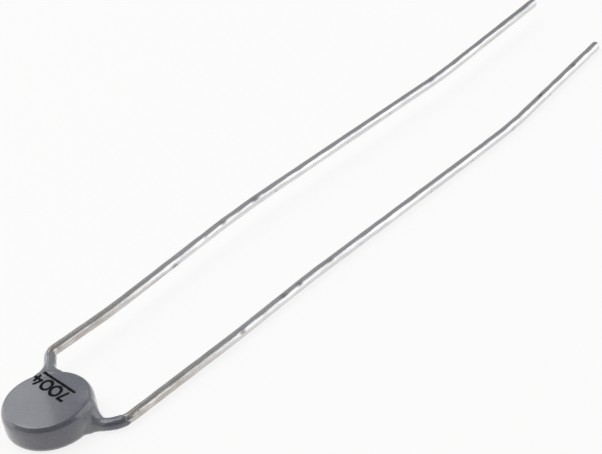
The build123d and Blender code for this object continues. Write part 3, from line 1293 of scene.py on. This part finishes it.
# ------------------------------------------------------------------------------------ leads
@dataclass
class Lead:
    """A tinned wire: its pressed end, its gentle waves, its nicks and its sheared tip."""

    form: LeadForm
    sizes: DiscSizes
    spacing: float = 0.09
    around: int = 40
    tip_round: float = 0.05
    tip_inset: float = 0.8
    bevel_rings: int = 5
    shear: float = 0.05
    shear_from: float = 1.0
    lump: float = 0.004
    lump_wavelength: float = 0.34
    fine_share: float = 0.25
    fine_wavelength: float = 0.13
    fine_seed: float = 2.0
    uneven_from: Span = (2.0, 3.0)
    stretch: float = 0.22
    flat_edge: float = 3.0
    least_square: float = 1e-4
    cap_rings: tuple[float, ...] = (0.82, 0.5, 0.2)

    def __post_init__(self) -> None:
        """Lays out the lead's route."""
        self.route = Route(self.form, self.sizes)
        self.end = self.route.length - self.shear

    def half_sizes(self, along: np.ndarray) -> tuple[np.ndarray, np.ndarray]:
        """Sizes of the wire's section, from its pressed end to the round wire.

        Args:
            along: Distances along the lead, from the disc's axis.

        Returns:
            Half widths and half heights.
        """
        sizes = self.sizes
        turned = smooth_step(along, sizes.flat_end, sizes.flat_end + sizes.flat_taper)
        wide = sizes.flat_half_width + (sizes.wire_radius - sizes.flat_half_width) * turned
        thin = sizes.flat_thickness / 2
        tall = thin + (sizes.wire_radius - thin) * turned
        from_end = np.clip(along + sizes.flat_past_centre, 0.0, wide)
        return np.sqrt(np.maximum(wide**2 - (wide - from_end) ** 2, self.least_square)), tall

    def uneven(self, along: np.ndarray, angle: np.ndarray) -> np.ndarray:
        """How far the tin stands out or is dented.

        Args:
            along: Distances along the lead, from the disc's axis.
            angle: Angles round the wire, from its left.

        Returns:
            One height for each place, negative in a dent.
        """
        seed = self.form.seed
        radius = self.sizes.wire_radius
        ring = np.column_stack([radius * np.cos(angle), radius * np.sin(angle),
                                along * self.stretch])
        slow = ripple(ring, self.lump_wavelength, seed) - 1.0
        fine = ripple(ring, self.fine_wavelength, seed + self.fine_seed)
        raised = self.lump * slow + self.fine_share * self.lump * fine
        for nick in self.form.nicks:
            raised -= nick.depth * nick.reach(along, angle)
        return raised * smooth_step(along, *self.uneven_from)

    def painted_shade(self, along: np.ndarray, angle: np.ndarray) -> np.ndarray:
        """How much painted shade darkens the tin in its nicks.

        Args:
            along: Distances along the lead, from the disc's axis.
            angle: Angles round the wire, from its left.

        Returns:
            One value for each place, from 0 to 1.
        """
        dark = np.zeros(len(along))
        for nick in self.form.nicks:
            dark = np.maximum(dark, nick.painted_shade * nick.reach(along, angle))
        return dark

    def rings(self) -> tuple[np.ndarray, np.ndarray]:
        """Spaces out the rings of the wire's surface.

        Returns:
            Each ring's distance from the disc's axis, and how far it is drawn in to round the tip.
        """
        body = np.arange(-self.sizes.flat_past_centre, self.end - self.tip_round, self.spacing)
        turn = np.linspace(0.0, math.pi / 2, self.bevel_rings)
        bevel = self.end - self.tip_round * (1.0 - np.sin(turn))
        inset = self.tip_round * self.tip_inset * (1.0 - np.cos(turn))
        return np.concatenate([body, bevel]), np.concatenate([np.zeros(len(body)), inset])

    def surface(self) -> tuple[np.ndarray, np.ndarray]:
        """Rings of the wire's surface, the last of them sheared at a slant.

        Returns:
            Vertices, and the same ones as if the wire were straight, with Z along it.
        """
        stands, inset = self.rings()
        angle = np.tile(np.arange(self.around) * TURN / self.around, len(stands))
        along = np.repeat(stands, self.around)
        wide, tall = self.half_sizes(along)
        narrow = np.minimum(wide, tall)
        growth = self.uneven(along, angle) - np.repeat(inset, self.around)
        side = np.clip(self.flat_edge * np.cos(angle), -1.0, 1.0)
        aside = np.maximum(wide - narrow, 0.0) * side + (narrow + growth) * np.cos(angle)
        over = (tall + growth) * np.sin(angle)
        share = smooth_step(along, self.end - self.shear_from, self.end)
        sheared, left = self.route.place(along + share * self.shear * over / self.sizes.wire_radius)
        sides = sheared + left * aside[:, None]
        sides[:, 2] = np.maximum(self.route.level(along) + over, 0.0)
        return sides, np.column_stack([aside, over, along])

    def faces(self, rings: int) -> list[list[int]]:
        """Faces of a tube of rings, closed by a vertex at its tip and one at its flat end.

        Args:
            rings: How many rings the tube has.

        Returns:
            Vertex numbers of each face: along the tube, then at the tip, then at the flat end.
        """
        step = np.arange(self.around)
        after = (step + 1) % self.around
        near = np.arange(rings - 1)[:, None] * self.around
        far = near + self.around
        quads = np.stack([near + step, near + after, far + after, far + step], -1).reshape(-1, 4)
        tip_centre = rings * self.around
        tip_ring = tip_centre - self.around
        tip = [[tip_ring + a, tip_ring + b, tip_centre] for a, b in zip(step, after)]
        back = [[b, a, tip_centre + 1] for a, b in zip(step, after)]
        return quads.tolist() + tip + back

    def build(self, wire: bpy.types.Material, cut: bpy.types.Material) -> bpy.types.Object:
        """Meshes the lead and dresses it, with the bare cut face in a finish of its own.

        Args:
            wire: The tinned surface.
            cut: The bare metal of the cut face.

        Returns:
            The object, in the scene.
        """
        sides, straight = self.surface()
        rings = len(sides) // self.around
        last = sides[-self.around:]
        centre = last.mean(0)
        inner = [centre + (last - centre) * part for part in self.cap_rings]
        ends = [centre[None], sides[:self.around].mean(0)[None]]
        vertices = np.concatenate([sides] + inner + ends)
        inner_straight = [straight[-self.around:]] * len(inner)
        straight = np.concatenate([straight] + inner_straight + [straight[-1:], straight[:1]])
        faces = self.faces(rings + len(inner))
        piece = make_piece(f"{self.form.side.name.lower()}_tinned_lead", vertices, faces)
        aside, over, along = straight.T
        store_vectors(piece, "straight", straight)
        # Painted shade in the nicks, kept for the tin to read.
        store_values(piece, "painted_shade", self.painted_shade(along, np.arctan2(over, aside)))
        piece.data.materials.append(wire)
        piece.data.materials.append(cut)
        finish = np.zeros(len(faces), dtype=np.int32)
        finish[(rings - 1) * self.around:len(faces) - self.around] = 1
        piece.data.polygons.foreach_set("material_index", finish)
        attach(piece, BODY)
        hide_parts(f"{self.form.side.name.lower()}_lead")
        return piece


# ------------------------------------------------------------------------------------ ink mark
def oval(half_width: float, half_height: float, points: int = 29) -> Stroke:
    """A closed oval stroke."""
    turns = np.linspace(0.0, TURN, points)
    return tuple((half_width * math.cos(turn), half_height * math.sin(turn)) for turn in turns)


DIGITS: dict[str, tuple[Stroke, ...]] = {
    "0": (oval(0.27, 0.285),),
    "4": (((-0.06, 0.30), (-0.23, -0.05), (0.27, -0.05)), ((0.09, 0.14), (0.09, -0.23))),
    "7": (((-0.16, 0.25), (0.15, 0.25), (-0.04, -0.25)),),
}


@dataclass
class InkMark:
    """A plain number with a bar under it, printed on the disc's top face.

    The mark's own frame starts at the bar's middle, with the bar along it and the digits above.
    """

    coating: Coating
    digits: str = "7004"
    finish: PlainFinish = INK
    bar_centre: Span = (-0.357, 1.093)
    bar_length: float = 2.17
    bar_width: float = 0.135
    bar_hook: Span = (0.035, 0.03)
    hook_middle: Span = (0.7, 0.35)
    turn: float = 173.9
    digit_centres: tuple[float, ...] = (-0.93, -0.35, 0.31, 0.99)
    digit_rise: float = 0.468
    slant: float = -0.17
    stroke_width: float = 0.145
    bleed: float = 0.010
    bleed_wavelength: float = 0.17
    bleed_seed: float = 3.0
    film: float = 0.005
    sunk: float = 0.004
    step: float = 0.016
    sheet_across: Span = (-1.5, 1.5)
    sheet_upward: Span = (-0.15, 0.90)
    snap_rounds: int = 3
    snap_reach: float = 1e-4
    least_slope: float = 0.2

    def strokes(self) -> list[tuple[np.ndarray, float]]:
        """Lays out the bar and the digits.

        Returns:
            Each stroke's points in the mark's own frame, with its half width.
        """
        half = self.bar_length / 2
        across, along = self.bar_hook
        middle = (half + self.hook_middle[0] * across, self.hook_middle[1] * along)
        bar = [(-half, 0.0), (half, 0.0), middle, (half + across, along)]
        lines = [(np.array(bar), self.bar_width / 2)]
        for digit, centre in zip(self.digits, self.digit_centres):
            for stroke in DIGITS[digit]:
                points = np.array(stroke)
                points[:, 0] += centre + self.slant * points[:, 1]
                points[:, 1] += self.digit_rise
                lines.append((points, self.stroke_width / 2))
        return lines

    def distance(self, plan: np.ndarray) -> np.ndarray:
        """Measures to the printed area.

        Args:
            plan: Points in the mark's own frame, one row each.

        Returns:
            Distances, negative inside.
        """
        best = np.full(len(plan), np.inf)
        for points, half_width in self.strokes():
            for a, b in zip(points, points[1:]):
                run = b - a
                share = np.clip((plan - a) @ run / (run @ run), 0.0, 1.0)
                gap = np.hypot(*(plan - a - share[:, None] * run).T)
                best = np.minimum(best, gap - half_width)
        space = np.column_stack([plan, np.zeros(len(plan))])
        return best - self.bleed * ripple(space, self.bleed_wavelength, self.bleed_seed)

    def on_disc(self, plan: np.ndarray) -> np.ndarray:
        """Turns the mark's own frame to its place on the disc.

        Args:
            plan: Points in the mark's own frame, one row each.

        Returns:
            The same points in plan, on the part.
        """
        right = plan_way(math.radians(self.turn))
        upward = np.array([-right[1], right[0]])
        return np.array(self.bar_centre) + plan[:, :1] * right + plan[:, 1:] * upward

    def snapped(self, plan: np.ndarray) -> np.ndarray:
        """Pulls points that lie outside the printed area back to its edge.

        Args:
            plan: Points in the mark's own frame, one row each.

        Returns:
            The moved points.
        """
        for _ in range(self.snap_rounds):
            slope = gradient(self.distance, plan, self.snap_reach)
            steepness = np.maximum((slope * slope).sum(1), self.least_slope)
            plan = plan - slope * (np.maximum(self.distance(plan), 0.0) / steepness)[:, None]
        return plan

    def sheet(self) -> tuple[np.ndarray, np.ndarray]:
        """Meshes the printed area as a flat sheet, in the mark's own frame.

        Returns:
            Vertices and four-sided faces.
        """
        axes = [np.arange(*limits, self.step) for limits in (self.sheet_across, self.sheet_upward)]
        grid = np.stack(np.meshgrid(*axes, indexing="ij"), -1).reshape(-1, 2)
        inside = (self.distance(grid) < 0.0).reshape([len(axis) for axis in axes])
        touched = inside[:-1, :-1] | inside[1:, :-1] | inside[1:, 1:] | inside[:-1, 1:]
        number = np.arange(len(grid)).reshape(inside.shape)
        i, j = np.argwhere(touched).T
        corners = [number[i, j], number[i + 1, j], number[i + 1, j + 1], number[i, j + 1]]
        used, quads = np.unique(np.stack(corners, 1), return_inverse=True)
        return self.snapped(grid[used]), quads.reshape(-1, 4)

    @staticmethod
    def closed(quads: np.ndarray, count: int) -> np.ndarray:
        """Adds a sheet's underside and the walls round its border to its faces.

        Args:
            quads: The sheet's faces.
            count: How many vertices it has; those of the underside follow them.

        Returns:
            All the faces.
        """
        edges = np.concatenate([quads[:, [k, (k + 1) % 4]] for k in range(4)])
        _, first, uses = np.unique(np.sort(edges, axis=1), axis=0,
                                   return_index=True, return_counts=True)
        near, far = edges[first[uses == 1]].T
        walls = np.column_stack([far, near, near + count, far + count])
        return np.concatenate([quads, quads[:, ::-1] + count, walls])

    def build(self, material: bpy.types.Material) -> bpy.types.Object:
        """Meshes the film of ink, draped on the lacquer.

        Args:
            material: The ink.

        Returns:
            The object, in the scene.
        """
        plan, quads = self.sheet()
        disc = self.on_disc(plan)
        level = self.coating.height(disc)
        top = np.column_stack([disc, level + self.film])
        bottom = np.column_stack([disc, level - self.sunk])
        faces = self.closed(quads, len(plan))
        piece = make_piece("printed_number", np.concatenate([top, bottom]), faces)
        piece.data.materials.append(material)
        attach(piece, BODY)
        return piece


# ------------------------------------------------------------------------------------ inner parts
@dataclass(frozen=True)
class InnerParts:
    """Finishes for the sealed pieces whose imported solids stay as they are."""

    ceramic: PlainFinish = CERAMIC
    silver: PlainFinish = SILVER
    solder: PlainFinish = SOLDER

    def dress(self, shared: SharedLooks) -> list[str]:
        """Gives each sealed piece its finish.

        Args:
            shared: The shared node groups.

        Returns:
            The pieces' names.
        """
        silver = self.silver.material(shared)
        solder = self.solder.material(shared)
        finishes = {"ceramic_disc": (self.ceramic.material(shared), Slot.CERAMIC)}
        for side in Side:
            finishes[f"{side.name.lower()}_electrode"] = (silver, Slot.SILVER)
            finishes[f"{side.name.lower()}_solder"] = (solder, Slot.SOLDER)
        for name, (material, slot) in finishes.items():
            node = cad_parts[name]
            node.data.materials.clear()
            node.data.materials.append(material)
        return list(finishes)


# ------------------------------------------------------------------------------------ studio
@dataclass(frozen=True)
class SoftBox:
    """A soft light box, placed by its middle and turned to face a point."""

    name: str
    middle: Place
    faces: Place
    width: float
    height: float
    radiance: float
    outline: Outline = Outline.SQUARE

    def build(self) -> None:
        """Adds the light."""
        data = bpy.data.lights.new(self.name, "AREA")
        data.shape = self.outline.value
        data.size = self.width * MM
        data.size_y = self.height * MM
        filled = math.pi / 4 if self.outline is Outline.ROUND else 1.0
        data.energy = self.radiance * math.pi * filled * self.width * self.height * MM**2
        light = bpy.data.objects.new(self.name, data)
        light.location = Vector(self.middle) * MM
        way = Vector(self.middle) - Vector(self.faces)
        light.rotation_euler = way.to_track_quat("Z", "Y").to_euler()
        bpy.context.scene.collection.objects.link(light)


@dataclass(frozen=True)
class Camera:
    """The camera, placed by what it looks at and from which way."""

    target: Place = (-0.663, 16.74, 0.0)
    distance: float = 90.43
    azimuth: float = 47.91
    elevation: float = 33.05
    roll: float = 10.60
    field_of_view: float = 18.19
    clip: Span = (1.0, 5000.0)

    def build(self) -> None:
        """Adds the camera and makes it the scene's own."""
        azimuth, elevation = math.radians(self.azimuth), math.radians(self.elevation)
        ahead = Vector((-math.sin(azimuth) * math.cos(elevation),
                        math.cos(azimuth) * math.cos(elevation), -math.sin(elevation)))
        right = ahead.cross(Vector((0.0, 0.0, 1.0))).normalized()
        up = right.cross(ahead)
        roll = math.radians(self.roll)
        dipped = right * math.cos(roll) - up * math.sin(roll)
        raised = up * math.cos(roll) + right * math.sin(roll)
        data = bpy.data.cameras.new("camera")
        data.angle = math.radians(self.field_of_view)
        data.clip_start, data.clip_end = (reach * MM for reach in self.clip)
        camera = bpy.data.objects.new("camera", data)
        rows = Matrix((dipped, raised, -ahead)).transposed()
        middle = (Vector(self.target) - ahead * self.distance) * MM
        camera.matrix_world = Matrix.Translation(middle) @ rows.to_4x4()
        bpy.context.scene.collection.objects.link(camera)
        bpy.context.scene.camera = camera


@dataclass(frozen=True)
class Studio:
    """A pale floor, a plain room and soft lights."""

    floor_size: float = 3000.0
    floor_colour: Colour = (0.94, 0.92, 0.89, 1.0)
    floor_glow: float = 0.85
    floor_roughness: float = 0.9
    floor_specular: float = 0.1
    room_colour: Colour = (0.92, 0.96, 1.0, 1.0)
    room_strength: float = 0.34
    dark_side: Place = (0.698, -0.629, 0.342)
    dark_side_edge: Span = (0.45, 0.80)
    dark_side_share: float = 0.25
    lights: tuple[SoftBox, ...] = (
        SoftBox("overhead", middle=(-70.0, -40.0, 255.0), faces=(0.0, 10.0, 0.0),
                width=240.0, height=200.0, radiance=2.15),
        SoftBox("left_box", middle=(-180.0, 12.0, 228.0), faces=(0.0, 12.0, 228.0),
                width=198.0, height=206.0, radiance=1.35),
        SoftBox("left_low", middle=(-180.0, -82.0, 65.0), faces=(0.0, -82.0, 65.0),
                width=266.0, height=118.0, radiance=1.15),
        SoftBox("right_round", middle=(135.0, 168.0, 68.0), faces=(0.0, 13.0, 8.0),
                width=222.0, height=222.0, radiance=1.20, outline=Outline.ROUND),
    )

    def floor_material(self) -> bpy.types.Material:
        """Matt pale floor, near white to the eye and in reflections, that keeps its shadows.

        Returns:
            The material.
        """
        material, nodes, shader = start_material("pale_floor")
        nodes.feed(shader, {
            "Base Color": self.floor_colour,
            "Roughness": self.floor_roughness,
            "Specular IOR Level": self.floor_specular,
        })
        ray = nodes.add("ShaderNodeLightPath")
        seen = nodes.maths("MAXIMUM", ray.outputs["Is Camera Ray"], ray.outputs["Is Glossy Ray"])
        seen = nodes.maths("MAXIMUM", seen, ray.outputs["Is Transmission Ray"])
        glow = nodes.add("ShaderNodeEmission", {"Color": (1.0, 1.0, 1.0, 1.0), "Strength": 1.0})
        share = nodes.maths("MULTIPLY", seen, self.floor_glow)
        shaders = {0: share, 1: shader.outputs[0], 2: glow.outputs[0]}
        mixed = nodes.add("ShaderNodeMixShader", shaders)
        nodes.feed(nodes.tree.nodes["Material Output"], {"Surface": mixed.outputs[0]})
        return material

    def build_room(self) -> None:
        """Adds the room, even but for one dark side that no lamp stands on."""
        world = bpy.data.worlds.new("room")
        world.use_nodes = True
        nodes = Nodes(world.node_tree)
        way = nodes.add("ShaderNodeTexCoord").outputs["Generated"]
        towards = nodes.add("ShaderNodeVectorMath", {0: way, 1: self.dark_side},
                            operation="DOT_PRODUCT").outputs["Value"]
        share = nodes.spread(towards, *self.dark_side_edge, 1.0, self.dark_side_share)
        nodes.feed(nodes.tree.nodes["Background"], {
            "Color": self.room_colour,
            "Strength": nodes.maths("MULTIPLY", share, self.room_strength),
        })
        bpy.context.scene.world = world

    def build(self) -> None:
        """Adds the floor, the room and the lights."""
        half = self.floor_size / 2
        corners = [(-half, -half, 0.0), (half, -half, 0.0), (half, half, 0.0), (-half, half, 0.0)]
        floor = make_piece("floor", np.array(corners), [[0, 1, 2, 3]])
        floor.data.materials.append(self.floor_material())
        self.build_room()
        for light in self.lights:
            light.build()
        bpy.context.scene.view_settings.view_transform = "Standard"


def note(piece: bpy.types.Object) -> None:
    """Logs a piece that was built."""
    log.info("built %s, %d faces", piece.name, len(piece.data.polygons))


def main() -> None:
    """Builds and dresses every piece, in order."""
    logging.basicConfig(level=logging.INFO, format="%(name)s: %(message)s")
    sizes = DiscSizes()
    shared = SharedLooks()
    Camera().build()
    Studio().build()
    for name in InnerParts().dress(shared):
        log.info("dressed %s", name)
    coating = Coating(sizes, (UPPER_LEAD, LOWER_LEAD))
    note(coating.build(coating.finish.material(shared)))
    wire = TinFinish().material(shared)
    core = CUT_COPPER.material(shared)
    for form in coating.leads:
        note(Lead(form, sizes).build(wire, core))
    mark = InkMark(coating)
    note(mark.build(mark.finish.material(shared)))


if __name__ == "__main__":
    main()
